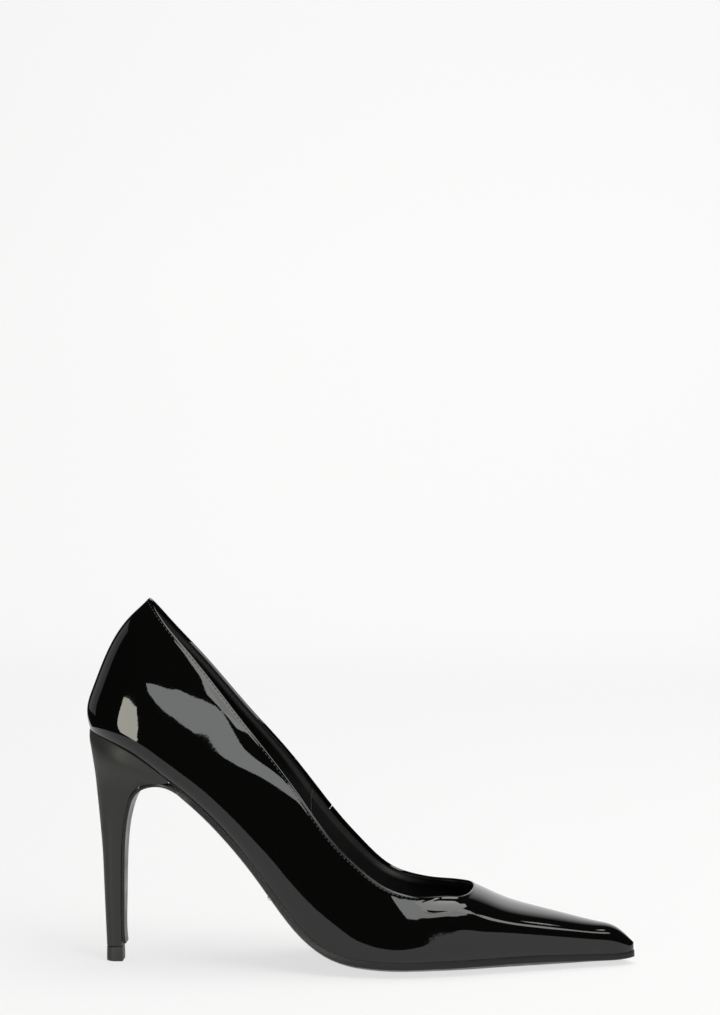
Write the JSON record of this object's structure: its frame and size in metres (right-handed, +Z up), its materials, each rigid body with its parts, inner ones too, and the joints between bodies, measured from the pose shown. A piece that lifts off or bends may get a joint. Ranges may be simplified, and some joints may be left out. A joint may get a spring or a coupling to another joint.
{
  "type": "high heel pump",
  "caption": "Pointed-toe stiletto pump in glossy black patent, with a slim covered heel, thin outsole and a replaceable heel tip.",
  "frame": {"origin": "centre of the tread face of the heel's top piece, on the floor", "axes": "+X towards the toe, +Y towards the inner side of the foot, +Z up"},
  "size_m": [0.2475, 0.0724, 0.1656],
  "materials": {
    "patent_leather": "high-gloss patent",
    "lining_leather": "smooth matt",
    "heel_leather": "satin gloss",
    "stiffener": "resin-stiffened felt",
    "tape": "woven tape",
    "fibre_board": "pressed fibre board",
    "foam": "open-cell foam",
    "sole_resin": "satin",
    "heel_plastic": "moulded",
    "steel": "plain",
    "polished_metal": "polished",
    "tip_rubber": "moulded"
  },
  "bodies": {
    "shoe": {"upper_vamp": "patent_leather", "upper_inner_quarter": "patent_leather", "vamp_lining": "lining_leather", "quarter_lining": "lining_leather", "heel_grip": "lining_leather", "heel_counter": "stiffener", "toe_puff": "stiffener", "topline_tape": "tape", "insole_backpart": "fibre_board", "insole_forepart": "fibre_board", "shank": "steel", "shank_rivet_1": "steel", "shank_rivet_2": "steel", "heel_pad": "foam", "ball_pad": "foam", "sock": "lining_leather", "bottom_filler": "foam", "outsole": "sole_resin", "sole_stud": "polished_metal", "heel_core": "heel_plastic", "heel_cover": "heel_leather", "heel_tube": "steel", "heel_screw": "steel", "heel_nail_1": "steel", "heel_nail_2": "steel", "heel_nail_3": "steel", "heel_nail_4": "steel"},
    "heel_tip": {"top_piece": "tip_rubber", "dowel_pin": "steel"}
  },
  "joints": [
    {"name": "top_piece_slide", "type": "slide", "parent": "shoe", "child": "heel_tip", "axis": [0, 0, -1], "range_m": [0, 0.016]}
  ]
}
